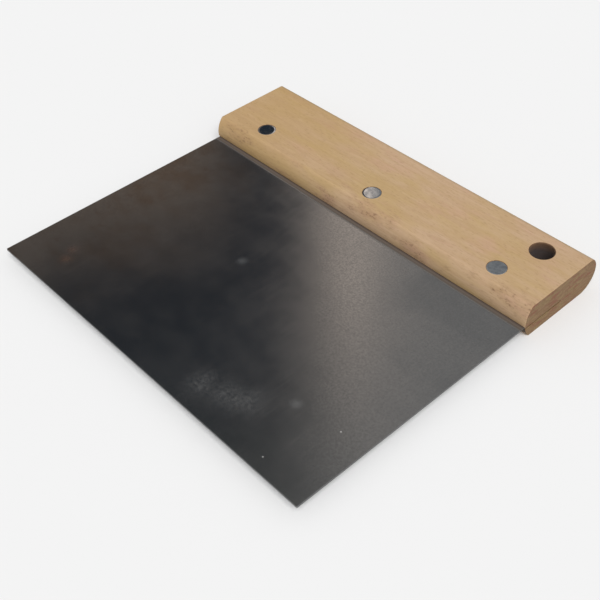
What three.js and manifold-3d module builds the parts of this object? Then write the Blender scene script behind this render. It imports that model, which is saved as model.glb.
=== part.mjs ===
// Drywall taping knife: a wide spring steel blade in a sawn kerf along the front of a beech handle,
// clamped there by three press rivets.
// Millimetres. X runs along the working edge, -Y points towards the working edge, and +Z is up.
// The origin is the bottom centre of the whole tool, with the handle's flat underside at z = 0.

import * as THREE from "three";
import { mergeVertices } from "three/addons/utils/BufferGeometryUtils.js";
import Module from "manifold-3d";

// Clearance between pieces that touch on the real tool.
const FIT_GAP = 0.3;

// Blade.
const BLADE_WIDTH = 180; // along the working edge
const BLADE_REACH = 115.4; // from the handle's nose to the working edge
const BLADE_THICKNESS = 0.8;
const BLADE_CORNER_RADIUS = 0.6;

// Handle, along its length.
const HANDLE_OVERHANG = 0.6; // past the blade at each end
const END_EDGE_BREAK = 0.4; // bevel round the two sawn ends
const OUTER_RIVET_TO_END = 23.35;
const HANG_HOLE_TO_END = 17.1; // from the hole's centre

// Handle, from its nose to its back.
const NOSE_TO_RIVETS = 10.6; // to the rivets' centres
const RIVETS_TO_TANG_END = 9.4;
const TANG_END_TO_KERF_END = 2;
const KERF_END_TO_HANG_HOLE = 3.7; // wood between the kerf and the hole's wall
const HANG_HOLE_DIAMETER = 10;
const HANG_HOLE_TO_BACK = 8; // wood between the hole's wall and the back

// Handle, through its thickness.
const LOWER_CHEEK = 4.7; // wood under the kerf
const UPPER_CHEEK = 9.1; // wood over the kerf

// Handle, the roundings of its long edges.
const NOSE_BULGE = 3.1; // how far the nose stands in front of the flat faces
const BACK_CROWN_DROP = 6.3; // from the top face down to the line that stands furthest back
const BACK_TOP_SETBACK = 3.2; // from that line in to the top face's back edge
const BACK_BOTTOM_SETBACK = 8.7; // from that line in to the underside's back edge

// Press rivets, in two halves: a solid post and a tubular sleeve.
const RIVET_HEAD_DIAMETER = 8;
const RIVET_HEAD_HEIGHT = 2;
const RIVET_RECESS = 0.1; // how far the heads are pressed below the wood
const POST_DIAMETER = 3;
const SLEEVE_WALL = 0.7;
const SHANK_END_GAP = 1; // from each shank's end to the other half

// How finely round shapes are cut into flats.
const ROUND_SEGMENTS = 32;
const ARC_STEPS = 10;

// How far a cutting solid runs past the face that it cuts through.
const CUT_MARGIN = 1;

// Sizes that follow from the values above. Depths are measured back from the handle's nose.
const handleLength = BLADE_WIDTH + 2 * HANDLE_OVERHANG;
const tangDepth = NOSE_TO_RIVETS + RIVETS_TO_TANG_END;
const kerfDepth = tangDepth + TANG_END_TO_KERF_END;
const kerfHeight = BLADE_THICKNESS + 2 * FIT_GAP;
const hangHoleDepth = kerfDepth + KERF_END_TO_HANG_HOLE + HANG_HOLE_DIAMETER / 2;
const handleDepth = hangHoleDepth + HANG_HOLE_DIAMETER / 2 + HANG_HOLE_TO_BACK;
const handleThickness = LOWER_CHEEK + kerfHeight + UPPER_CHEEK;
const outerRivetX = handleLength / 2 - OUTER_RIVET_TO_END;
const hangHoleX = handleLength / 2 - HANG_HOLE_TO_END;
const postRadius = POST_DIAMETER / 2;
const sleeveBoreRadius = postRadius + FIT_GAP;
const sleeveRadius = sleeveBoreRadius + SLEEVE_WALL;
const shankHoleRadius = sleeveRadius + FIT_GAP;
const headRadius = RIVET_HEAD_DIAMETER / 2;

const RIVETS = [
  { side: "left", x: -outerRivetX },
  { side: "middle", x: 0 },
  { side: "right", x: outerRivetX },
];

const wasm = await Module();
wasm.setup();

// A closed geometry as a solid that can be cut.
function solidFrom(geometry) {
  const bare = geometry.clone();
  bare.deleteAttribute("normal");
  bare.deleteAttribute("uv");
  const merged = mergeVertices(bare);
  return new wasm.Manifold(
    new wasm.Mesh({
      numProp: 3,
      vertProperties: merged.attributes.position.array,
      triVerts: new Uint32Array(merged.index.array),
    }),
  );
}

// A cut solid as a flat-shaded geometry.
function geometryFrom(solid) {
  const { vertProperties, triVerts } = solid.getMesh();
  const shared = new THREE.BufferGeometry();
  shared.setAttribute("position", new THREE.BufferAttribute(vertProperties, 3));
  shared.setIndex(new THREE.BufferAttribute(triVerts, 1));
  const geometry = shared.toNonIndexed();
  geometry.computeVertexNormals();
  return geometry;
}

// Points along part of an ellipse, both ends included.
function arcPoints(centreX, centreY, radiusX, radiusY, startAngle, endAngle) {
  const points = [];
  for (let step = 0; step <= ARC_STEPS; step++) {
    const angle = startAngle + ((endAngle - startAngle) * step) / ARC_STEPS;
    const x = centreX + radiusX * Math.cos(angle);
    const y = centreY + radiusY * Math.sin(angle);
    points.push(new THREE.Vector2(x, y));
  }
  return points;
}

// A solid of revolution about Z, from [radius, height] pairs that start and end on the axis.
function turned(profile) {
  const points = profile.map(([radius, height]) => new THREE.Vector2(radius, height));
  return new THREE.LatheGeometry(points, ROUND_SEGMENTS).rotateX(Math.PI / 2);
}

function steelMaterial() {
  return new THREE.MeshStandardMaterial({ color: 0x6f7073, roughness: 0.3, metalness: 1 });
}

function beechMaterial() {
  return new THREE.MeshStandardMaterial({ color: 0xc0a078, roughness: 0.6, metalness: 0 });
}

function rivetMaterial() {
  return new THREE.MeshStandardMaterial({ color: 0xa5afb4, roughness: 0.3, metalness: 1 });
}

// One flat sheet with rounded corners and a rivet hole for each rivet in its tang.
// Its local origin lies under the handle's nose, at the blade's middle height.
function makeBlade() {
  const halfWidth = BLADE_WIDTH / 2;
  const inX = halfWidth - BLADE_CORNER_RADIUS;
  const lowY = -BLADE_REACH + BLADE_CORNER_RADIUS;
  const highY = tangDepth - BLADE_CORNER_RADIUS;
  const corners = [
    [inX, lowY, -Math.PI / 2],
    [inX, highY, 0],
    [-inX, highY, Math.PI / 2],
    [-inX, lowY, Math.PI],
  ];
  const outline = corners.flatMap(([x, y, start]) =>
    arcPoints(x, y, BLADE_CORNER_RADIUS, BLADE_CORNER_RADIUS, start, start + Math.PI / 2),
  );
  const sheet = new THREE.Shape(outline);
  for (const { x } of RIVETS) {
    const hole = new THREE.Path();
    hole.absarc(x, NOSE_TO_RIVETS, shankHoleRadius, 0, 2 * Math.PI, true);
    sheet.holes.push(hole);
  }
  const geometry = new THREE.ExtrudeGeometry(sheet, {
    depth: BLADE_THICKNESS,
    bevelEnabled: false,
    curveSegments: ROUND_SEGMENTS / 2,
  });
  geometry.translate(0, 0, -BLADE_THICKNESS / 2);
  const blade = new THREE.Mesh(geometry, steelMaterial());
  blade.name = "blade";
  blade.position.z = LOWER_CHEEK + kerfHeight / 2;
  return blade;
}

// The handle's end view, with x from nose to back and y up: flat faces above and below, a shallow
// arc for the nose, and a back that is rounder below its crown line than above it.
function handleSection() {
  const noseRadius = (NOSE_BULGE ** 2 + (handleThickness / 2) ** 2) / (2 * NOSE_BULGE);
  const noseAngle = Math.asin(handleThickness / 2 / noseRadius);
  const nose = arcPoints(
    noseRadius,
    handleThickness / 2,
    noseRadius,
    noseRadius,
    Math.PI - noseAngle,
    Math.PI + noseAngle,
  );
  const crownHeight = handleThickness - BACK_CROWN_DROP;
  const lowerBack = arcPoints(
    handleDepth - BACK_BOTTOM_SETBACK,
    crownHeight,
    BACK_BOTTOM_SETBACK,
    crownHeight,
    -Math.PI / 2,
    0,
  );
  const upperRadius = (BACK_TOP_SETBACK ** 2 + BACK_CROWN_DROP ** 2) / (2 * BACK_TOP_SETBACK);
  const upperBack = arcPoints(
    handleDepth - upperRadius,
    crownHeight,
    upperRadius,
    upperRadius,
    0,
    Math.asin(BACK_CROWN_DROP / upperRadius),
  );
  return new THREE.Shape([...nose, ...lowerBack, ...upperBack.slice(1)]);
}

// The kerf that takes the tang, open at the nose and at both ends.
function kerfCutter() {
  const depth = kerfDepth + CUT_MARGIN;
  const geometry = new THREE.BoxGeometry(handleLength + 2 * CUT_MARGIN, depth, kerfHeight);
  return geometry.translate(0, depth / 2 - CUT_MARGIN, LOWER_CHEEK + kerfHeight / 2);
}

// A rivet's stepped bore: a clear way through for the sleeve, and a wider seat for each head.
function rivetBoreCutter() {
  const seatRadius = headRadius + FIT_GAP;
  const seatDepth = RIVET_RECESS + RIVET_HEAD_HEIGHT + FIT_GAP;
  return turned([
    [0, -CUT_MARGIN],
    [seatRadius, -CUT_MARGIN],
    [seatRadius, seatDepth],
    [shankHoleRadius, seatDepth],
    [shankHoleRadius, handleThickness - seatDepth],
    [seatRadius, handleThickness - seatDepth],
    [seatRadius, handleThickness + CUT_MARGIN],
    [0, handleThickness + CUT_MARGIN],
  ]);
}

function hangHoleCutter() {
  const radius = HANG_HOLE_DIAMETER / 2;
  return turned([
    [0, -CUT_MARGIN],
    [radius, -CUT_MARGIN],
    [radius, handleThickness + CUT_MARGIN],
    [0, handleThickness + CUT_MARGIN],
  ]);
}

// One beech block with eased ends, cut by the kerf, the rivet bores and the hang hole.
// Its local origin is the foot of its nose, at the middle of its length.
function makeHandle() {
  const block = new THREE.ExtrudeGeometry(handleSection(), {
    depth: handleLength - 2 * END_EDGE_BREAK,
    bevelEnabled: true,
    bevelThickness: END_EDGE_BREAK,
    bevelSize: END_EDGE_BREAK,
    bevelOffset: -END_EDGE_BREAK,
    bevelSegments: 1,
  });
  block.translate(0, 0, END_EDGE_BREAK - handleLength / 2);
  // The section's x becomes Y, its y becomes Z, and the block's length becomes X.
  const alongX = new THREE.Matrix4().makeBasis(
    new THREE.Vector3(0, 1, 0),
    new THREE.Vector3(0, 0, 1),
    new THREE.Vector3(1, 0, 0),
  );
  let solid = solidFrom(block.applyMatrix4(alongX)).subtract(solidFrom(kerfCutter()));
  for (const { x } of RIVETS) {
    const bore = rivetBoreCutter().translate(x, NOSE_TO_RIVETS, 0);
    solid = solid.subtract(solidFrom(bore));
  }
  const hangHole = hangHoleCutter().translate(hangHoleX, hangHoleDepth, 0);
  solid = solid.subtract(solidFrom(hangHole));
  const handle = new THREE.Mesh(geometryFrom(solid), beechMaterial());
  handle.name = "handle";
  return handle;
}

// The solid half: the flush upper head, and a post that reaches down into the sleeve.
function makeRivetPost(side) {
  const top = handleThickness - RIVET_RECESS;
  const underHead = top - RIVET_HEAD_HEIGHT;
  const tip = RIVET_RECESS + RIVET_HEAD_HEIGHT + SHANK_END_GAP;
  const geometry = turned([
    [0, tip],
    [postRadius, tip],
    [postRadius, underHead],
    [headRadius, underHead],
    [headRadius, top],
    [0, top],
  ]);
  const post = new THREE.Mesh(geometry, rivetMaterial());
  post.name = `rivet_post_${side}`;
  return post;
}

// The tubular half: the flush lower head, and a sleeve that is open at its top for the post.
function makeRivetSleeve(side) {
  const bottom = RIVET_RECESS;
  const overHead = bottom + RIVET_HEAD_HEIGHT;
  const mouth = handleThickness - RIVET_RECESS - RIVET_HEAD_HEIGHT - SHANK_END_GAP;
  const geometry = turned([
    [0, bottom],
    [headRadius, bottom],
    [headRadius, overHead],
    [sleeveRadius, overHead],
    [sleeveRadius, mouth],
    [sleeveBoreRadius, mouth],
    [sleeveBoreRadius, overHead],
    [0, overHead],
  ]);
  const sleeve = new THREE.Mesh(geometry, rivetMaterial());
  sleeve.name = `rivet_sleeve_${side}`;
  return sleeve;
}

// Both halves of one rivet on one axis.
function makeRivet({ side, x }) {
  const rivet = new THREE.Group();
  rivet.add(makeRivetPost(side), makeRivetSleeve(side));
  rivet.position.set(x, NOSE_TO_RIVETS, 0);
  return rivet;
}

// The pieces are placed from the foot of the nose, which stands where the tool's box is centred.
const tapingKnife = new THREE.Group();
const assembly = new THREE.Group();
assembly.position.y = (BLADE_REACH - handleDepth) / 2;
assembly.add(makeBlade(), makeHandle(), ...RIVETS.map(makeRivet));
tapingKnife.add(assembly);

export default tapingKnife;
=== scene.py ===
"""A drywall taping knife: a wide spring steel blade clamped in the kerf of a beech handle by
three press rivets, lying on a pale floor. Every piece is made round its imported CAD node."""

import math

import bmesh
import bpy
import numpy as np
from mathutils import Matrix, Vector


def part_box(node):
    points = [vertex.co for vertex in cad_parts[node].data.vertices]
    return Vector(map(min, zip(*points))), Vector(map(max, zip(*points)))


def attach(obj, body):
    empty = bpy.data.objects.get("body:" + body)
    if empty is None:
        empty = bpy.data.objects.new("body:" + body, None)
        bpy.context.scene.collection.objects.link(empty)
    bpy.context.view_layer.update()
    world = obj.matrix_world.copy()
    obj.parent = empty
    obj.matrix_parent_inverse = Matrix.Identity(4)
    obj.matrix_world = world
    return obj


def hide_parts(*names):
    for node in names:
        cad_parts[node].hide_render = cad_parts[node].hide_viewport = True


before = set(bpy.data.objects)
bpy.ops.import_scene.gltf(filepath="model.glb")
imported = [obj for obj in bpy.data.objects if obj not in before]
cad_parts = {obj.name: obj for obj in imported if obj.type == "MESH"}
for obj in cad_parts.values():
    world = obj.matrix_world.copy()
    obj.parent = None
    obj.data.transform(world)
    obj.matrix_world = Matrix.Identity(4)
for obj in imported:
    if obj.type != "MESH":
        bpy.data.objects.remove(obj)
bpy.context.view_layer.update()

# ---------------------------------------------------------------------------------------------
# Blade. One flat sheet of cold rolled spring steel, guillotined to size, with its corners just
# taken off and its edges dressed on a stone. Three holes are punched in the tang for the rivets.
# ---------------------------------------------------------------------------------------------
MM = 0.001
BLADE_CORNER_RADIUS = 0.6 * MM
BLADE_EDGE_ROUNDING = 0.12 * MM
SHANK_HOLE_RADIUS = 2.8 * MM
HOLE_WINDOW = 4 * MM  # half the side of the square patch of sheet round each hole
WINDOW_STEPS = 14  # grid steps along one side of that patch
HOLE_RINGS = 3
CORNER_STEPS = 5
SHEET_STEPS = 6  # grid steps across each plain stretch of sheet
SHARP_DEGREES = 35  # faces that meet at more than this keep a sharp edge
FAR_MM = 1e3  # further than any mark is from any place on the blade
RIVET_SIDES = ("left", "middle", "right")

blade_low, blade_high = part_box("blade")
handle_low, handle_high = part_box("handle")
rivet_boxes = {side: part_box(f"rivet_post_{side}") for side in RIVET_SIDES}
rivet_centres = {side: (low + high) / 2 for side, (low, high) in rivet_boxes.items()}


def grid_lines(stops, steps):
    """Line positions that divide each stretch between two stops into that many equal steps."""
    parts = [np.linspace(a, b, n + 1)[:-1] for a, b, n in zip(stops, stops[1:], steps)]
    return np.concatenate([*parts, [stops[-1]]])


def grid_quads(rows, columns, wraps=False):
    """Corner numbers of the quads between neighbouring points of a grid. The columns close on
    themselves if it wraps."""
    r, c = np.meshgrid(np.arange(rows - 1), np.arange(columns - (not wraps)), indexing="ij")
    after = (c + 1) % columns
    corners = [r * columns + c, r * columns + after, (r + 1) * columns + after, (r + 1) * columns + c]
    return np.stack(corners, axis=-1).reshape(-1, 4)


def round_off_corners(x, y, low, high, radius):
    """Moves the points of each corner square onto a quarter disc, so that a point's place along
    its spoke becomes its distance from the disc's centre."""
    centre_x = np.clip(x, low[0] + radius, high[0] - radius)
    centre_y = np.clip(y, low[1] + radius, high[1] - radius)
    dx, dy = x - centre_x, y - centre_y
    spoke = np.maximum(np.hypot(dx, dy), 1e-12)
    shrink = np.maximum(abs(dx), abs(dy)) / spoke
    return centre_x + dx * shrink, centre_y + dy * shrink


def window_ring(centre, half, radius, steps, rings):
    """Rings of points that pass evenly from a circle to the square round it: each point runs
    straight from the square's edge towards the centre and stops at the circle."""
    side = np.linspace(-1, 1, steps + 1)[:-1]
    one = np.ones(steps)
    across = np.concatenate([side, one, -side, -one])
    along = np.concatenate([-one, side, one, -side])
    square = np.stack([across, along], axis=1)
    circle = square / np.hypot(*square.T)[:, None] * radius
    t = np.linspace(0, 1, rings + 1)[:, None, None]
    return (circle * (1 - t) + square * half * t).reshape(-1, 2) + centre


def put_mesh(name, points, faces, material):
    """A new object from points and faces, with its doubles merged and its faces facing out."""
    mesh = bpy.data.meshes.new(name)
    mesh.from_pydata(np.asarray(points).tolist(), [], [list(face) for face in faces])
    edit = bmesh.new()
    edit.from_mesh(mesh)
    bmesh.ops.remove_doubles(edit, verts=edit.verts, dist=0.001 * MM)
    bmesh.ops.recalc_face_normals(edit, faces=edit.faces)
    edit.to_mesh(mesh)
    edit.free()
    mesh.materials.append(material)
    made = bpy.data.objects.new(name, mesh)
    bpy.context.collection.objects.link(made)
    return made


def smooth(obj):
    """Shades an object smooth between its sharp edges, with its flat faces left flat."""
    obj.data.shade_smooth()
    obj.data.set_sharp_from_angle(angle=math.radians(SHARP_DEGREES))
    even = obj.modifiers.new("even_normals", "WEIGHTED_NORMAL")
    even.keep_sharp = True


def linear(code):
    """An sRGB hex colour as linear red, green, blue and alpha."""
    values = np.array([int(code[i : i + 2], 16) for i in (0, 2, 4)]) / 255
    low, high = values / 12.92, ((values + 0.055) / 1.055) ** 2.4
    return (*np.where(values <= 0.04045, low, high), 1.0)


def live_output(node):
    """A node's first output that is in use, since a Mix node has one for each kind of data."""
    return next(out for out in node.outputs if out.enabled)


def add_node(tree, kind, inputs=(), **settings):
    """Adds one shader node with its settings and links. The inputs are a list in the order of the
    node's sockets, or a dict by their names. Each is a constant, or what feeds it: a node or a
    socket."""
    made = tree.nodes.new("ShaderNode" + kind)
    for key, value in settings.items():
        setattr(made, key, value)
    sockets = [socket for socket in made.inputs if socket.enabled]
    by_name = {socket.name: socket for socket in reversed(sockets)}
    pairs = inputs.items() if isinstance(inputs, dict) else enumerate(inputs)
    for place, value in pairs:
        socket = by_name[place] if isinstance(place, str) else sockets[place]
        if isinstance(value, bpy.types.Node):
            value = live_output(value)
        if isinstance(value, bpy.types.NodeSocket):
            tree.links.new(value, socket)
        else:
            socket.default_value = value
    return made


def new_material(name):
    """An empty node material: itself, its tree, its main shader and its place in mm."""
    made = bpy.data.materials.new(name)
    made.use_nodes = True
    tree = made.node_tree
    shader = next(n for n in tree.nodes if n.type == "BSDF_PRINCIPLED")
    place = add_node(tree, "TexCoord").outputs["Object"]
    in_mm = add_node(tree, "VectorMath", [place, (1 / MM,) * 3], operation="MULTIPLY")
    return made, tree, shader, in_mm


def feed_shader(tree, shader, nodes):
    """Feeds each node into the main shader's socket of its name."""
    for name, node in nodes.items():
        tree.links.new(live_output(node), shader.inputs[name])


def patches(tree, place, size_mm, start, full, detail=3.0):
    """Irregular patches, as a share from 0 to 1: noise with features of that size along X, Y and
    Z, eased from nothing where it passes start to all where it passes full."""
    per_mm = tuple(1 / size for size in size_mm)
    scaled = add_node(tree, "VectorMath", [place, per_mm], operation="MULTIPLY")
    settings = {"Vector": scaled, "Scale": 1.0, "Detail": detail, "Roughness": 0.6}
    noise = add_node(tree, "TexNoise", settings)
    return add_node(tree, "MapRange", [noise, start, full, 0.0, 1.0], interpolation_type="SMOOTHSTEP")


def spots(tree, place, centres_mm, radius_mm, core, rim, ragged):
    """Round marks with ragged edges at chosen places, as a share from 0 to 1. The nearest
    centre's distance is shaken by noise, by up to ragged radii either way, and the mark eases from
    all at core radii to nothing at rim radii."""
    noise = add_node(tree, "TexNoise", {"Vector": place, "Scale": 3 / radius_mm, "Detail": 3.0})
    swing = ragged * radius_mm
    shake = add_node(tree, "Math", [noise, 2 * swing, -swing], operation="MULTIPLY_ADD")
    nearest = FAR_MM
    for centre in centres_mm:
        apart = add_node(tree, "VectorMath", [place, centre], operation="DISTANCE").outputs["Value"]
        nearest = add_node(tree, "Math", [apart, nearest], operation="MINIMUM")
    edge = add_node(tree, "Math", [nearest, shake], operation="ADD")
    ends = [core * radius_mm, rim * radius_mm, 1.0, 0.0]
    return add_node(tree, "MapRange", [edge, *ends], interpolation_type="SMOOTHSTEP")


def stain(tree, colour, share, strength, code, where=None):
    """Lays a hex colour over another by a share, times its greatest strength, times a place."""
    if where is not None:
        share = add_node(tree, "Math", [share, where], operation="MULTIPLY")
    amount = add_node(tree, "Math", [share, strength], operation="MULTIPLY")
    return add_node(tree, "Mix", [amount, colour, linear(code)], data_type="RGBA")


# Marks that years of use leave on the steel, by their middles in mm on its two faces.
UPPER_FACE = blade_high.z / MM
LOWER_FACE = blade_low.z / MM
RUST_SPOTS = [(-66.6, -65.2, UPPER_FACE), (-69.5, -60.0, UPPER_FACE)]
PLASTER_SMUDGES = [(36.0, -65.5, UPPER_FACE), (41.0, -64.0, UPPER_FACE)]
PLASTER_SMUDGES += [(45.0, -61.5, UPPER_FACE), (27.0, -68.0, UPPER_FACE)]
DRIED_DROPS = [(-14.0, -14.5, UPPER_FACE), (57.9, -50.3, UPPER_FACE)]
DINGS = [(67.2, -74.1, UPPER_FACE), (77.8, -47.9, UPPER_FACE), (-30.0, -70.5, LOWER_FACE)]


def spring_steel():
    """Cold rolled spring steel with a light polish: a grey metal that still mirrors, hazed by
    fine scratches and smudges of plaster, with a faint brown tint at the left that is partly
    damp and partly a painted reflection of the room's brown glow."""
    made, tree, shader, place = new_material("spring_steel_cold_rolled")
    axes = add_node(tree, "SeparateXYZ", [place])
    clouds = patches(tree, place, (34, 26, 10), 0.3, 0.7)
    # The grit is 0.8 mm across. Real rolling texture is far finer and wouldn't show.
    grit = patches(tree, place, (0.8, 0.8, 0.8), 0.3, 0.75)
    # Scratches run mostly from the working edge to the handle, as the blade is drawn over a wall.
    # Swirls from wiping cross them. Both are drawn far wider than real ones, so that they show.
    scratches = patches(tree, place, (0.3, 18, 1), 0.5, 0.8)
    swirls = patches(tree, place, (16, 0.35, 1), 0.52, 0.8)
    bloom_and_painted_reflection = patches(tree, place, (38, 30, 10), 0.42, 0.66)
    damp = patches(tree, place, (5, 4, 4), 0.55, 0.8)
    # The brown tint towards the left end is partly damp and partly a painted reflection of the room's
    # brown glow on that side.
    left = add_node(tree, "MapRange", [axes.outputs["X"], -20.0, -80.0, 0.0, 1.0])
    metal = add_node(tree, "Mix", [clouds, linear("b2b4b5"), linear("bfc0c0")], data_type="RGBA")
    metal = stain(tree, metal, bloom_and_painted_reflection, 0.55, "a48b70", left)
    metal = stain(tree, metal, damp, 0.3, "947458", left)
    metal = stain(tree, metal, grit, 0.28, "8a8a8a")
    metal = stain(tree, metal, scratches, 0.12, "e4e4e2")
    # A grey-brown band is painted along the nose: partly wood dust and plaster packed into the
    # corner, partly a painted reflection of the nose, which the steel isn't let mirror. The dark
    # brown line at its very bottom is painted shade where the blade meets the nose.
    nose = handle_low.y / MM
    dust_and_painted_nose_reflection = add_node(tree, "MapRange", [axes.outputs["Y"], nose - 3.0, nose - 1.6, 0.0, 1.0])
    packed = add_node(tree, "MapRange", [axes.outputs["Y"], nose - 2.8, nose - 0.9, 0.0, 1.0])
    corner = add_node(tree, "MapRange", [axes.outputs["Y"], nose - 0.7, nose - 0.2, 0.0, 1.0])
    metal = stain(tree, metal, dust_and_painted_nose_reflection, 0.95, "665a50")
    metal = stain(tree, metal, corner, 0.5, "46342a")
    # Painted shade: the sheet's edge faces are darkened, so that they read dark instead of mirroring the
    # bright floor.
    facing = add_node(tree, "SeparateXYZ", [add_node(tree, "TexCoord").outputs["Normal"]])
    level = add_node(tree, "Math", [facing.outputs["Z"]], operation="ABSOLUTE")
    edge_faces_painted_dark = add_node(tree, "MapRange", [level, 0.9, 0.4, 0.0, 1.0])
    metal = stain(tree, metal, edge_faces_painted_dark, 0.75, "484644")
    rust = spots(tree, place, RUST_SPOTS, radius_mm=3.6, core=-0.2, rim=1.3, ragged=0.3)
    metal = stain(tree, metal, rust, 0.4, "a4683c")
    crumbs = patches(tree, place, (1.6, 1.0, 1), 0.22, 0.8, 4.0)
    smudge = spots(tree, place, PLASTER_SMUDGES, radius_mm=7.5, core=-0.3, rim=1.4, ragged=0.35)
    smudge = add_node(tree, "Math", [smudge, crumbs], operation="MULTIPLY")
    drops = spots(tree, place, DRIED_DROPS, radius_mm=3.0, core=-0.2, rim=1.2, ragged=0.35)
    dings = spots(tree, place, DINGS, radius_mm=0.45, core=0.3, rim=1.1, ragged=0.6)
    metal = stain(tree, metal, smudge, 0.15, "d8d6d0")
    metal = stain(tree, metal, dings, 0.8, "e2e2de")
    # Dust, plaster, rust and burrs scatter light instead of mirroring it, and so does the band painted
    # along the nose.
    dull = 0.0
    for mark, share in ((smudge, 0.115), (rust, 0.035), (drops, 0.11), (dings, 0.4), (packed, 0.85)):
        dull = add_node(tree, "Math", [mark, share, dull], operation="MULTIPLY_ADD")
    metallic = add_node(tree, "Math", [1.0, dull], operation="SUBTRACT", use_clamp=True)
    rough = 0.14
    rougher = [(clouds, 0.04), (grit, 0.04), (scratches, 0.05), (smudge, 0.03), (rust, 0.12)]
    rougher += [(packed, 0.3), (edge_faces_painted_dark, 0.25)]
    for mark, share in rougher:
        rough = add_node(tree, "Math", [mark, share, rough], operation="MULTIPLY_ADD")
    relief = add_node(tree, "Math", [scratches, swirls], operation="ADD")
    relief = add_node(tree, "Math", [grit, 0.5, relief], operation="MULTIPLY_ADD")
    bumps = add_node(tree, "Bump", {"Height": relief, "Strength": 0.12, "Distance": 0.01 * MM})
    looks = {"Base Color": metal, "Metallic": metallic, "Roughness": rough, "Normal": bumps}
    feed_shader(tree, shader, looks)
    return made


def make_blade():
    """A flat grid with a round window for each rivet, thickened into a sheet with eased edges."""
    radius = BLADE_CORNER_RADIUS
    centres = [rivet_centres[side] for side in RIVET_SIDES]
    x_stops = [blade_low.x, blade_low.x + radius]
    for centre in centres:
        x_stops += [centre.x - HOLE_WINDOW, centre.x + HOLE_WINDOW]
    x_stops += [blade_high.x - radius, blade_high.x]
    row = centres[0].y
    y_stops = [blade_low.y, blade_low.y + radius, row - HOLE_WINDOW, row + HOLE_WINDOW]
    y_stops += [blade_high.y - radius, blade_high.y]
    between = [SHEET_STEPS, WINDOW_STEPS]
    xs = grid_lines(x_stops, [CORNER_STEPS, *between * 3, SHEET_STEPS, CORNER_STEPS])
    ys = grid_lines(y_stops, [CORNER_STEPS, *between, SHEET_STEPS, CORNER_STEPS])
    x, y = np.meshgrid(xs, ys)
    faces = grid_quads(len(ys), len(xs))
    middles = np.stack([x.ravel(), y.ravel()], axis=1)[faces].mean(axis=1)
    x, y = round_off_corners(x, y, blade_low, blade_high, radius)
    level = (blade_low.z + blade_high.z) / 2
    points = [np.stack([x.ravel(), y.ravel()], axis=1)]
    quads = []
    start = len(points[0])
    for centre in centres:
        inside = (abs(middles - np.array(centre[:2])) < HOLE_WINDOW).all(axis=1)
        faces, middles = faces[~inside], middles[~inside]
        ring = window_ring(centre[:2], HOLE_WINDOW, SHANK_HOLE_RADIUS, WINDOW_STEPS, HOLE_RINGS)
        quads.append(grid_quads(HOLE_RINGS + 1, 4 * WINDOW_STEPS, wraps=True) + start)
        points.append(ring)
        start += len(ring)
    flat = np.concatenate(points)
    points = np.column_stack([flat, np.full(len(flat), level)])
    blade = put_mesh("steel_blade", points, np.concatenate([faces, *quads]), spring_steel())
    sheet = blade.modifiers.new("gauge", "SOLIDIFY")
    sheet.thickness = blade_high.z - blade_low.z
    sheet.offset = 0
    edges = blade.modifiers.new("dressed_edges", "BEVEL")
    edges.width = BLADE_EDGE_ROUNDING
    edges.segments = 2
    edges.limit_method = "ANGLE"
    edges.angle_limit = math.radians(60)
    smooth(blade)
    return blade


blade = make_blade()
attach(blade, "root")
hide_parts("blade")

# ---------------------------------------------------------------------------------------------
# Handle. One block of steamed beech, moulded to a rounded nose and back, sawn to length and
# slit along the nose for the blade. It is bored and counterbored for the rivets, and left bare.
# ---------------------------------------------------------------------------------------------
NOSE_BULGE = 3.1 * MM  # how far the nose stands in front of the flat faces
BACK_CROWN_DROP = 6.3 * MM  # from the top face down to the line that stands furthest back
BACK_TOP_SETBACK = 3.2 * MM
BACK_BOTTOM_SETBACK = 8.7 * MM
KERF_GAP = 0.05 * MM  # between the blade and each wall of its kerf
KERF_END_GAP = 2 * MM
OUTLINE_STEP = 0.2 * MM
SANDED_OVER = 1.1 * MM  # the length over which sanding has softened each long edge
END_ROUNDING = 0.3 * MM
END_STEPS = 5
LONG_STEPS = 12
TURNED_SEGMENTS = 96
SEAT_GAP = 0.05 * MM
MOUTH_EASING = 0.15 * MM
HEAD_HEIGHT = 2 * MM
HANG_HOLE_RADIUS = 5 * MM
HANG_HOLE_EASING = 0.5 * MM
HANG_HOLE_TO_END = 17.1 * MM
HANG_HOLE_TO_BACK = 13 * MM
OVERCUT = 1 * MM  # how far a drill runs past the wood
EASING_DEPTH = 0.06 * MM  # faces nearer than this to the top or underside stay bare wood
KERF_REACH = 0.5 * MM  # the kerf's walls lie within this of the blade's middle
ALONG_X = 0.5  # a face whose normal has more X than this looks along the handle
PITH = (57.0, -95.0)  # (y, z) of the tree's centre line, in mm
RING_WIDTH = 2.2  # mm from one year's ring to the next
RING_SWAY = 9.0  # mm by which the rings wander along the grain
ARC_POINTS = 40  # on each arc of the end view
QUARTER_POINTS = 60  # on its one long quarter ellipse
LEAST_TURN = 1e-3  # a point where the line turns less than this isn't needed
FLAT_STRIDE = 20  # but every point of this many is kept, so that long flats are divided


def arc(centre, radii, start, end, steps):
    """Points along part of an ellipse, from one angle in degrees to another."""
    angle = np.radians(np.linspace(start, end, steps))
    return np.column_stack([centre[0] + radii[0] * np.cos(angle), centre[1] + radii[1] * np.sin(angle)])


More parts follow.
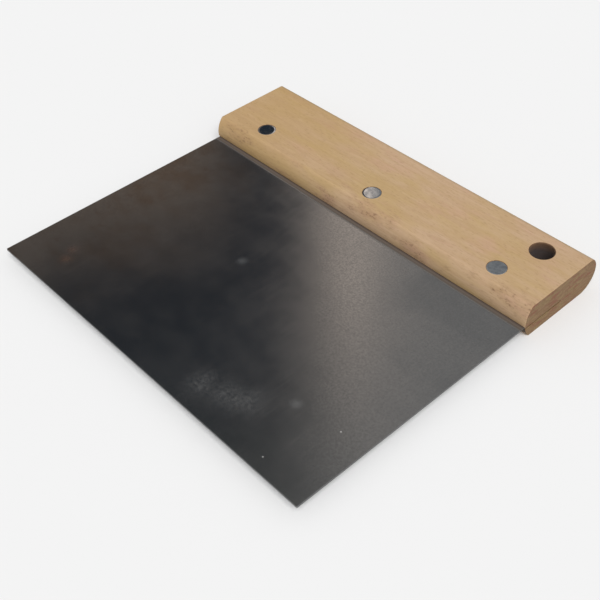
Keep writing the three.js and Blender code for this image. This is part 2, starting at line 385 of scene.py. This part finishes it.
def handle_outline():
    """The handle's end view as a closed line of (depth, height), from the kerf's upper wall over
    the nose, top, back and underside to its lower wall. Two shallow arcs make the nose, a circle
    the back above its crown, and a quarter ellipse the back below it. The line is then cut into
    even steps and each point moved to the mean of its neighbourhood, as sanding softens edges."""
    depth = handle_high.y - handle_low.y
    height = handle_high.z - handle_low.z
    kerf_depth = blade_high.y - handle_low.y + KERF_END_GAP
    kerf_top = blade_high.z + KERF_GAP
    kerf_bottom = blade_low.z - KERF_GAP
    half = height / 2
    nose_radius = (NOSE_BULGE**2 + half**2) / (2 * NOSE_BULGE)

    def nose_angle(level):
        return 180 - math.degrees(math.asin((level - half) / nose_radius))

    nose = ((nose_radius, half), (nose_radius, nose_radius))
    upper_nose = arc(*nose, nose_angle(kerf_top), nose_angle(height), ARC_POINTS)
    lower_nose = arc(*nose, nose_angle(0), nose_angle(kerf_bottom), ARC_POINTS)
    crown = height - BACK_CROWN_DROP
    upper = (BACK_TOP_SETBACK**2 + BACK_CROWN_DROP**2) / (2 * BACK_TOP_SETBACK)
    upper_end = math.degrees(math.asin(BACK_CROWN_DROP / upper))
    upper_back = arc((depth - upper, crown), (upper, upper), upper_end, 0, ARC_POINTS)
    lower_radii = (BACK_BOTTOM_SETBACK, crown)
    lower_centre = (depth - BACK_BOTTOM_SETBACK, crown)
    lower_back = arc(lower_centre, lower_radii, 0, -90, QUARTER_POINTS)
    kerf_end = [(kerf_depth, kerf_bottom), (kerf_depth, kerf_top)]
    line = np.concatenate([upper_nose, upper_back, lower_back[1:], lower_nose, kerf_end])
    closed = np.vstack([line, line[:1]])
    along = np.concatenate([[0], np.cumsum(np.hypot(*np.diff(closed, axis=0).T))])
    count = round(along[-1] / OUTLINE_STEP)
    even = np.linspace(0, along[-1], count, endpoint=False)
    even = np.column_stack([np.interp(even, along, closed[:, k]) for k in (0, 1)])
    reach = round(SANDED_OVER / OUTLINE_STEP / 2)
    weights = np.hanning(2 * reach + 3)[1:-1]
    shifts = range(-reach, reach + 1)
    mean = sum(w * np.roll(even, s, axis=0) for w, s in zip(weights, shifts)) / weights.sum()
    before, after = mean - np.roll(mean, 1, axis=0), np.roll(mean, -1, axis=0) - mean
    turn = abs(before[:, 0] * after[:, 1] - before[:, 1] * after[:, 0]) / OUTLINE_STEP**2
    needed = (turn > LEAST_TURN) | (np.arange(count) % FLAT_STRIDE == 0)
    return mean[needed]


def swept_block(outline):
    """The outline carried along X. Near each end it shrinks along its own normals by a quarter
    circle, which rounds the sawn edge over, and a flat face closes it."""
    tangent = np.roll(outline, -1, axis=0) - np.roll(outline, 1, axis=0)
    normal = np.column_stack([-tangent[:, 1], tangent[:, 0]])
    normal /= np.hypot(*normal.T)[:, None]
    swing = np.linspace(0, math.pi / 2, END_STEPS + 1)
    out = END_ROUNDING * np.sin(swing)
    inset = END_ROUNDING * (1 - np.cos(swing))
    left, right = handle_low.x + END_ROUNDING, handle_high.x - END_ROUNDING
    middle = np.linspace(left, right, LONG_STEPS + 1)
    x = np.concatenate([(left - out)[::-1], middle[1:-1], right + out])
    shrink = np.concatenate([inset[::-1], np.zeros(LONG_STEPS - 1), inset])
    ring = outline[None] - normal[None] * shrink[:, None, None]
    x = np.broadcast_to(x[:, None], ring.shape[:2])
    points = np.stack([x, ring[..., 0] + handle_low.y, ring[..., 1] + handle_low.z], axis=-1)
    count = len(outline)
    faces = [*grid_quads(len(shrink), count, wraps=True)]
    faces += [np.arange(count), np.arange(count) + (len(shrink) - 1) * count]
    return points.reshape(-1, 3), faces


def turned(profile, centre, segments=TURNED_SEGMENTS):
    """A solid of revolution about an upright axis, from a line of (radius, height) that starts
    and ends on the axis."""
    radius, height = np.array(profile).T
    angle = np.linspace(0, 2 * math.pi, segments, endpoint=False)
    x = centre[0] + radius[:, None] * np.cos(angle)
    y = centre[1] + radius[:, None] * np.sin(angle)
    z = np.broadcast_to(height[:, None], x.shape)
    return np.stack([x, y, z], axis=-1).reshape(-1, 3), grid_quads(len(radius), segments, wraps=True)


def drill(obj, profile, centre):
    """Cuts a turned shape out of an object for good."""
    tool = put_mesh("drill", *turned(profile, centre), obj.data.materials[0])
    cut = obj.modifiers.new("drill", "BOOLEAN")
    cut.operation = "DIFFERENCE"
    cut.solver = "EXACT"
    cut.object = tool
    solid = bpy.data.meshes.new_from_object(obj.evaluated_get(bpy.context.evaluated_depsgraph_get()))
    obj.modifiers.remove(cut)
    obj.data = solid
    bpy.data.objects.remove(tool)


def mouths(radius, easing, low, high):
    """A drill's profile that flares by a quarter circle at both faces of the wood."""
    swing = np.linspace(0, math.pi / 2, 5)
    flare = radius + easing * (1 - np.sin(swing))
    sink = easing * (1 - np.cos(swing))
    lower = [(0, low - OVERCUT), (flare[0], low - OVERCUT), *zip(flare, low + sink)]
    upper = [*zip(flare[::-1], (high - sink)[::-1]), (flare[0], high + OVERCUT), (0, high + OVERCUT)]
    return lower + upper


def wood_base(tree, place):
    """Steamed beech without its surface marks: broad pink and yellow patches, warmer towards the
    left end. Returns that colour, and the share of dark late wood: growth rings about a centre
    line well below the handle, each darkening slowly and ending sharply."""
    from_pith = (0, -PITH[0], -PITH[1])
    across = add_node(tree, "VectorMath", [place, (0, 1, 1), from_pith], operation="MULTIPLY_ADD")
    radius = add_node(tree, "VectorMath", [across], operation="LENGTH").outputs["Value"]
    sway = patches(tree, place, (130, 16, 16), 0.2, 0.8, 2.0)
    swayed = add_node(tree, "Math", [sway, RING_SWAY, radius], operation="MULTIPLY_ADD")
    rings = add_node(tree, "Math", [swayed, RING_WIDTH], operation="DIVIDE")
    phase = add_node(tree, "Math", [rings], operation="FRACT")
    rise = add_node(tree, "MapRange", [phase, 0.3, 0.9, 0.0, 1.0], interpolation_type="SMOOTHSTEP")
    fall = add_node(tree, "MapRange", [phase, 0.92, 1.0, 1.0, 0.0], interpolation_type="SMOOTHSTEP")
    late = add_node(tree, "Math", [rise, fall], operation="MULTIPLY")
    yellow = patches(tree, place, (48, 14, 12), 0.36, 0.66)
    pink = patches(tree, place, (26, 9, 9), 0.48, 0.7)
    colour = add_node(tree, "Mix", [yellow, linear("c3a586"), linear("bda074")], data_type="RGBA")
    colour = stain(tree, colour, pink, 0.5, "c49d87")
    axes = add_node(tree, "SeparateXYZ", [place])
    warm = add_node(tree, "MapRange", [axes.outputs["X"], -10.0, -70.0, 0.0, 1.0])
    colour = stain(tree, colour, warm, 0.55, "b89764")
    return colour, late


def beech_long_grain():
    """Bare steamed beech, planed and sanded along the grain: pale tan with faint rings, short
    brown ray flecks and grime rubbed into the front by wet hands, with painted shade on the
    front below the blade and along the back edge of the top."""
    made, tree, shader, place = new_material("beech_planed_bare")
    axes = add_node(tree, "SeparateXYZ", [place])
    colour, late = wood_base(tree, place)
    fibre = patches(tree, place, (14, 0.6, 0.6), 0.3, 0.7)
    # Ray flecks are drawn 2.4 mm long and 0.42 mm wide, about twice the real width, so they show.
    flecks = patches(tree, place, (2.4, 0.42, 0.42), 0.58, 0.72, 1.0)
    pale = patches(tree, place, (5, 1.1, 1.1), 0.55, 0.75)
    colour = stain(tree, colour, late, 0.14, "a3805a")
    colour = stain(tree, colour, fibre, 0.22, "a98961")
    colour = stain(tree, colour, flecks, 0.32, "8a6a45")
    colour = stain(tree, colour, pale, 0.25, "cdb08c")
    nose = handle_low.y / MM
    front = add_node(tree, "MapRange", [axes.outputs["Y"], nose + 11, nose + 4, 0.0, 1.0])
    held = patches(tree, place, (24, 9, 9), 0.48, 0.64)
    worn_in = patches(tree, place, (1.5, 0.8, 0.8), 0.5, 0.7)
    grubby = add_node(tree, "Math", [held, front], operation="MULTIPLY")
    colour = stain(tree, colour, grubby, 0.28, "97745a")
    colour = stain(tree, colour, worn_in, 0.65, "6c4f38", grubby)
    # Painted shade: the front below the blade and in the kerf is darkened nearly to black, as the shade
    # under the blade.
    painted_shade_below_blade = add_node(tree, "MapRange", [axes.outputs["Z"], 0.4, 3.0, 0.0, 1.0])
    above = add_node(tree, "MapRange", [axes.outputs["Z"], 5.2, 5.4, 1.0, 0.0])
    painted_shade_below_blade = add_node(tree, "Math", [painted_shade_below_blade, above], operation="MULTIPLY")
    colour = stain(tree, colour, painted_shade_below_blade, 0.92, "2c221c", front)
    # Painted shade: the rounded edge along the back of the top face is a little greyer, as it turns away
    # from the light.
    back = (handle_high.y - BACK_TOP_SETBACK) / MM
    edge = add_node(tree, "Math", [axes.outputs["Y"], back], operation="SUBTRACT")
    edge = add_node(tree, "Math", [edge], operation="ABSOLUTE")
    edge = add_node(tree, "MapRange", [edge, 1.4, 0.2, 0.0, 1.0], interpolation_type="SMOOTHSTEP")
    colour = stain(tree, colour, edge, 0.35, "968468")
    rough = add_node(tree, "Math", [fibre, 0.15, 0.55], operation="MULTIPLY_ADD")
    shader.inputs["Specular IOR Level"].default_value = 0.3
    relief = add_node(tree, "Math", [flecks, -0.5, fibre], operation="MULTIPLY_ADD")
    bumps = add_node(tree, "Bump", {"Height": relief, "Strength": 0.35, "Distance": 0.04 * MM})
    feed_shader(tree, shader, {"Base Color": colour, "Roughness": rough, "Normal": bumps})
    return made


def beech_end_grain():
    """The sawn ends of the same beech: browner, partly because open pores take up grime and
    partly as painted shade on the ends, with clear rings, fine pores and rusty smears dragged out
    by the saw."""
    made, tree, shader, place = new_material("beech_sawn_end_grain")
    colour, late = wood_base(tree, place)
    olive = patches(tree, place, (10, 14, 2.4), 0.42, 0.62)
    rusty = patches(tree, place, (6, 7, 1.5), 0.5, 0.66)
    pores = patches(tree, place, (0.5, 0.5, 0.5), 0.5, 0.7, 2.0)
    saw = patches(tree, place, (2, 0.5, 12), 0.5, 0.75)
    # The whole end is laid over with brown: partly end grain's own darker tone, partly painted shade on
    # the sawn ends.
    colour = stain(tree, colour, 1.0, 0.85, "775c44")
    colour = stain(tree, colour, olive, 0.6, "8e7a58")
    colour = stain(tree, colour, late, 0.4, "71573f")
    colour = stain(tree, colour, rusty, 0.7, "7f4f42")
    colour = stain(tree, colour, pores, 0.4, "5e4934")
    colour = stain(tree, colour, saw, 0.14, "a78d6e")
    shader.inputs["Roughness"].default_value = 0.8
    shader.inputs["Specular IOR Level"].default_value = 0.2
    relief = add_node(tree, "Math", [pores, -1.0, saw], operation="MULTIPLY_ADD")
    bumps = add_node(tree, "Bump", {"Height": relief, "Strength": 0.5, "Distance": 0.06 * MM})
    feed_shader(tree, shader, {"Base Color": colour, "Normal": bumps})
    return made


def beech_bored():
    """The walls of the drilled holes: beech scorched brown by the drill, with dark streaks, and
    painted darker and greyer further in, as painted shade deep in the bore."""
    made, tree, shader, place = new_material("beech_bored_scorched_and_shaded")
    axes = add_node(tree, "SeparateXYZ", [place])
    streaks = patches(tree, place, (2.5, 2.5, 0.8), 0.35, 0.7)
    middle = (handle_low.z + handle_high.z) / 2 / MM
    depth = add_node(tree, "Math", [axes.outputs["Z"], middle], operation="SUBTRACT")
    depth = add_node(tree, "Math", [depth], operation="ABSOLUTE")
    # Painted shade: the colour darkens from the mouth towards the middle of the wood.
    mouth = add_node(tree, "MapRange", [depth, middle - 4.0, middle - 0.2, 0.0, 1.0])
    colour = add_node(tree, "Mix", [mouth, linear("4c4442"), linear("725741")], data_type="RGBA")
    colour = stain(tree, colour, streaks, 0.4, "44342b")
    shader.inputs["Roughness"].default_value = 0.7
    shader.inputs["Specular IOR Level"].default_value = 0.3
    bumps = add_node(tree, "Bump", {"Height": streaks, "Strength": 0.4, "Distance": 0.08 * MM})
    feed_shader(tree, shader, {"Base Color": colour, "Normal": bumps})
    return made


def make_handle():
    """The swept block, drilled for the rivets and the hook, with its sawn faces in end grain."""
    handle = put_mesh("beech_handle", *swept_block(handle_outline()), beech_long_grain())
    low, high = handle_low.z, handle_high.z
    holes = []
    for side in RIVET_SIDES:
        post_low, post_high = rivet_boxes[side]
        seat = (post_high.x - post_low.x) / 2 + SEAT_GAP
        sink = high - post_high.z + HEAD_HEIGHT + SEAT_GAP
        mouth = seat + MOUTH_EASING
        profile = [(0, low - OVERCUT), (mouth, low - OVERCUT), (mouth, low)]
        profile += [(seat, low + MOUTH_EASING), (seat, low + sink), (SHANK_HOLE_RADIUS, low + sink)]
        profile += [(SHANK_HOLE_RADIUS, high - sink), (seat, high - sink), (seat, high - MOUTH_EASING)]
        profile += [(mouth, high), (mouth, high + OVERCUT), (0, high + OVERCUT)]
        drill(handle, profile, rivet_centres[side])
        holes.append((rivet_centres[side][:2], mouth))
    hang_hole = (handle_high.x - HANG_HOLE_TO_END, handle_high.y - HANG_HOLE_TO_BACK)
    drill(handle, mouths(HANG_HOLE_RADIUS, HANG_HOLE_EASING, low, high), hang_hole)
    holes.append((hang_hole, HANG_HOLE_RADIUS + HANG_HOLE_EASING))
    mesh = handle.data
    mesh.materials.append(beech_end_grain())
    mesh.materials.append(beech_bored())
    normals = np.empty(len(mesh.polygons) * 3)
    mesh.polygons.foreach_get("normal", normals)
    centres = np.empty(len(mesh.polygons) * 3)
    mesh.polygons.foreach_get("center", centres)
    normals, centres = normals.reshape(-1, 3), centres.reshape(-1, 3)
    # The block's two ends and the walls of the kerf are sawn. The kerf's walls take the darker end grain
    # material, partly as sawn wood and partly as painted shade in the narrow slit.
    lengthwise = abs(normals[:, 0]) > ALONG_X
    sawn = lengthwise & (abs(centres[:, 0]) > handle_high.x - END_ROUNDING)
    in_kerf = abs(centres[:, 2] - (blade_low.z + blade_high.z) / 2) < KERF_REACH
    in_kerf &= centres[:, 1] < blade_high.y + KERF_END_GAP + KERF_GAP
    sawn |= in_kerf & ~lengthwise
    # Everything inside a hole's mouth is bored.
    bored = np.zeros(len(centres), dtype=bool)
    for centre, reach in holes:
        bored |= np.hypot(*(centres[:, :2] - np.array(centre)).T) < reach
    bored &= (centres[:, 2] > low + EASING_DEPTH) & (centres[:, 2] < high - EASING_DEPTH)
    mesh.polygons.foreach_set("material_index", sawn + 2 * bored)
    smooth(handle)
    return handle


handle = make_handle()
handle.visible_glossy = False  # so the steel mirrors only the room
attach(handle, "root")
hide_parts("handle")

# ---------------------------------------------------------------------------------------------
# Rivets. Three two-part aluminium press rivets. Each solid post is driven down into a tubular
# sleeve that comes up from the other face, and both flat heads end just below the wood.
# ---------------------------------------------------------------------------------------------
POST_RADIUS = 1.5 * MM
SLEEVE_BORE_RADIUS = 1.8 * MM
SLEEVE_RADIUS = 2.5 * MM
HEAD_EDGE = 0.1 * MM  # rounding of a head's rim
HEAD_CROWN = 0.02 * MM  # how far a head's middle stands above its rim


def pressed_aluminium():
    """Soft aluminium, pressed flat by the closing tool: bright where it is smooth, with fine
    scuffs from sanding the wood round it and grey oxide in the scuffs."""
    made, tree, shader, place = new_material("aluminium_pressed")
    blotches = patches(tree, place, (2.2, 2.2, 2.2), 0.35, 0.7)
    scuffs = patches(tree, place, (3, 0.25, 3), 0.5, 0.78)
    colour = add_node(tree, "Mix", [blotches, linear("d4dce2"), linear("b4bcc4")], data_type="RGBA")
    colour = stain(tree, colour, scuffs, 0.4, "7d838b")
    shader.inputs["Metallic"].default_value = 1.0
    rough = add_node(tree, "Math", [blotches, 0.08, 0.07], operation="MULTIPLY_ADD")
    bumps = add_node(tree, "Bump", {"Height": scuffs, "Strength": 0.25, "Distance": 0.01 * MM})
    feed_shader(tree, shader, {"Base Color": colour, "Roughness": rough, "Normal": bumps})
    return made


def head_profile(radius, top, way):
    """(radius, height) from a head's middle to its side: a shallow crown that falls with the
    square of the radius, then a rim rounded by a quarter circle. top is the height of the middle,
    and way is 1 for an upper head and -1 for a lower."""
    out = np.linspace(0, 1, 7)
    crown = zip(out * (radius - HEAD_EDGE), top - way * HEAD_CROWN * out**2)
    swing = np.linspace(0, math.pi / 2, 5)[1:]
    rim_radius = radius - HEAD_EDGE + HEAD_EDGE * np.sin(swing)
    rim_end = top - way * (HEAD_CROWN + HEAD_EDGE)
    edge = zip(rim_radius, rim_end + way * HEAD_EDGE * np.cos(swing))
    return [*crown, *edge]


def make_rivet(side, metal):
    """Both halves of one rivet, each as wide and as high as its node in the frame."""
    post_low, post_high = rivet_boxes[side]
    sleeve_low, sleeve_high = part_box(f"rivet_sleeve_{side}")
    radius = (post_high.x - post_low.x) / 2
    centre = rivet_centres[side]
    under_head = post_high.z - HEAD_HEIGHT
    shank = [(radius, under_head), (POST_RADIUS, under_head), (POST_RADIUS, post_low.z), (0, post_low.z)]
    post_profile = head_profile(radius, post_high.z, 1) + shank
    over_head = sleeve_low.z + HEAD_HEIGHT
    tube = [(radius, over_head), (SLEEVE_RADIUS, over_head), (SLEEVE_RADIUS, sleeve_high.z)]
    tube += [(SLEEVE_BORE_RADIUS, sleeve_high.z), (SLEEVE_BORE_RADIUS, over_head), (0, over_head)]
    sleeve_profile = head_profile(radius, sleeve_low.z, -1) + tube
    for half, profile in (("post", post_profile), ("sleeve", sleeve_profile)):
        made = put_mesh(f"aluminium_{half}_{side}", *turned(profile, centre), metal)
        smooth(made)
        made.visible_glossy = False  # as the wood round it isn't mirrored either
        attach(made, "root")
        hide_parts(f"rivet_{half}_{side}")


aluminium = pressed_aluminium()
for side in RIVET_SIDES:
    make_rivet(side, aluminium)

# ---------------------------------------------------------------------------------------------
# Camera, floor and light. A plain pale floor under an even pale sky, with one large soft lamp
# beside the camera. Only polished surfaces see the dome, which is the room that they mirror.
# ---------------------------------------------------------------------------------------------
CAMERA_AZIMUTH = math.radians(49.243)
CAMERA_ELEVATION = math.radians(43.348)
CAMERA_ROLL = math.radians(-2.757)
CAMERA_PLACE = (236.44 * MM, -200.21 * MM, 275.94 * MM)
CAMERA_LENS = 60.58  # mm
CAMERA_SENSOR = 36.0  # mm
FLOOR_HALF_WIDTH = 6.0  # m
SKY_STRENGTH = 0.46
SKY_SEEN = 0.89  # what the camera sees past the floor
LAMP_DIRECTION = (0.62, -0.42, 1.0)
LAMP_SPREAD = math.radians(38)
LAMP_STRENGTH = 2.35
DOME_RADIUS = 3.0  # m

lens = bpy.data.cameras.new("camera")
lens.sensor_width = CAMERA_SENSOR
lens.lens = CAMERA_LENS
lens.clip_start = 0.01
lens.clip_end = 50
camera = bpy.data.objects.new("camera", lens)
bpy.context.collection.objects.link(camera)
camera.matrix_world = (
    Matrix.Translation(CAMERA_PLACE)
    @ Matrix.Rotation(CAMERA_AZIMUTH, 4, "Z")
    @ Matrix.Rotation(math.pi / 2 - CAMERA_ELEVATION, 4, "X")
    @ Matrix.Rotation(CAMERA_ROLL, 4, "Z")
)
bpy.context.scene.camera = camera
bpy.context.scene.view_settings.view_transform = "Standard"

floor_paint, _, floor_shader, _ = new_material("pale_floor_matt")
floor_shader.inputs["Base Color"].default_value = linear("eeeeee")
floor_shader.inputs["Roughness"].default_value = 1.0
floor_shader.inputs["Specular IOR Level"].default_value = 0.0
square = np.array([(-1, -1, 0), (1, -1, 0), (1, 1, 0), (-1, 1, 0)])
floor = put_mesh("floor", square * FLOOR_HALF_WIDTH, [(0, 1, 2, 3)], floor_paint)

sky = bpy.data.worlds.new("pale_sky")
bpy.context.scene.world = sky
sky.use_nodes = True
sky_light = next(n for n in sky.node_tree.nodes if n.type == "BACKGROUND")
sky_light.inputs["Color"].default_value = (1.0, 1.0, 1.0, 1.0)
ray = add_node(sky.node_tree, "LightPath")
strength = [ray.outputs["Is Camera Ray"], 0.0, 1.0, SKY_STRENGTH, SKY_SEEN]
strength = add_node(sky.node_tree, "MapRange", strength)
sky.node_tree.links.new(strength.outputs[0], sky_light.inputs["Strength"])

lamp_data = bpy.data.lights.new("soft_lamp", "SUN")
lamp_data.angle = LAMP_SPREAD
lamp_data.energy = LAMP_STRENGTH
lamp = bpy.data.objects.new("soft_lamp", lamp_data)
bpy.context.collection.objects.link(lamp)
lamp.rotation_euler = Vector(LAMP_DIRECTION).to_track_quat("Z", "Y").to_euler()
lamp.visible_glossy = False


def room_light():
    """The room that polished metal mirrors, by direction from the object. A is the angle round
    from straight behind it as the camera sees it, positive to the right, and E the angle up,
    both in degrees. To the left the room is near black, with a brown glow low down. To the right
    it is grey, with a brighter upright strip at its left edge that dims with height. To both
    sides and behind the camera it is plain mid grey, and paler overhead."""
    made = bpy.data.materials.new("mirrored_room")
    made.use_nodes = True
    tree = made.node_tree
    tree.nodes.clear()
    place = add_node(tree, "TexCoord").outputs["Object"]
    turned_place = add_node(tree, "VectorRotate", {"Vector": place, "Angle": -CAMERA_AZIMUTH})
    axes = add_node(tree, "SeparateXYZ", [turned_place])
    x, y, z = axes.outputs
    round_angle = add_node(tree, "Math", [x, y], operation="ARCTAN2")
    a = add_node(tree, "Math", [round_angle], operation="DEGREES")
    rise = add_node(tree, "Math", [z, DOME_RADIUS], operation="DIVIDE")
    up_angle = add_node(tree, "Math", [rise], operation="ARCSINE")
    e = add_node(tree, "Math", [up_angle], operation="DEGREES")
    wide = add_node(tree, "Math", [a], operation="ABSOLUTE")
    # What shines in each part of the room, and the angles over which it fades in: where it is
    # least, where it is full, and how much is left at the least.
    above = ((0.08, 0.083, 0.083), [(e, 46.0, 56.0, 0.0)])
    glow = ((0.23, 0.18, 0.145), [(e, 41.0, 34.0, 0.0), (a, -3.0, -8.0, 0.0)])
    grey = ((0.268, 0.262, 0.258), [(a, 0.0, 4.0, 0.0), (e, 42.0, 52.0, 0.88)])
    strip = ((0.95, 0.79, 0.68), [(a, 1.0, 4.5, 0.0), (a, 8.5, 4.5, 0.0), (e, 58.0, 38.0, 0.0)])
    behind = ((0.42, 0.43, 0.44), [(wide, 35.0, 75.0, 0.0)])
    overhead = ((0.8, 0.8, 0.8), [(e, 62.0, 85.0, 0.0), (wide, 20.0, 75.0, 0.0)])
    light = (0.022, 0.029, 0.038, 1.0)
    for colour, fades in (above, glow, grey, strip, behind, overhead):
        share = 1.0
        for angle, start, full, least in fades:
            ends = [start, full, least, 1.0]
            fade = add_node(tree, "MapRange", [angle, *ends], interpolation_type="SMOOTHSTEP")
            share = add_node(tree, "Math", [share, fade], operation="MULTIPLY")
        light = add_node(tree, "Mix", [share, light, (*colour, 1.0)], data_type="RGBA")
    glowing = add_node(tree, "Emission", [light, 1.0])
    out = add_node(tree, "OutputMaterial")
    tree.links.new(glowing.outputs[0], out.inputs["Surface"])
    made.cycles.emission_sampling = "NONE"  # it is mirrored, but lights nothing
    return made


def half_sphere(radius, rows=24, columns=64):
    """A half sphere about the origin, on a grid of angles up and round, closed at its pole."""
    up = np.linspace(0, math.pi / 2, rows)
    around = np.linspace(0, 2 * math.pi, columns, endpoint=False)
    up, around = np.meshgrid(up, around, indexing="ij")
    points = np.stack([np.cos(up) * np.cos(around), np.cos(up) * np.sin(around), np.sin(up)], axis=-1)
    return points.reshape(-1, 3) * radius, grid_quads(rows, columns, wraps=True)


dome = put_mesh("mirrored_room", *half_sphere(DOME_RADIUS), room_light())
dome.visible_camera = False
dome.visible_diffuse = False
dome.visible_shadow = False
dome.visible_transmission = False
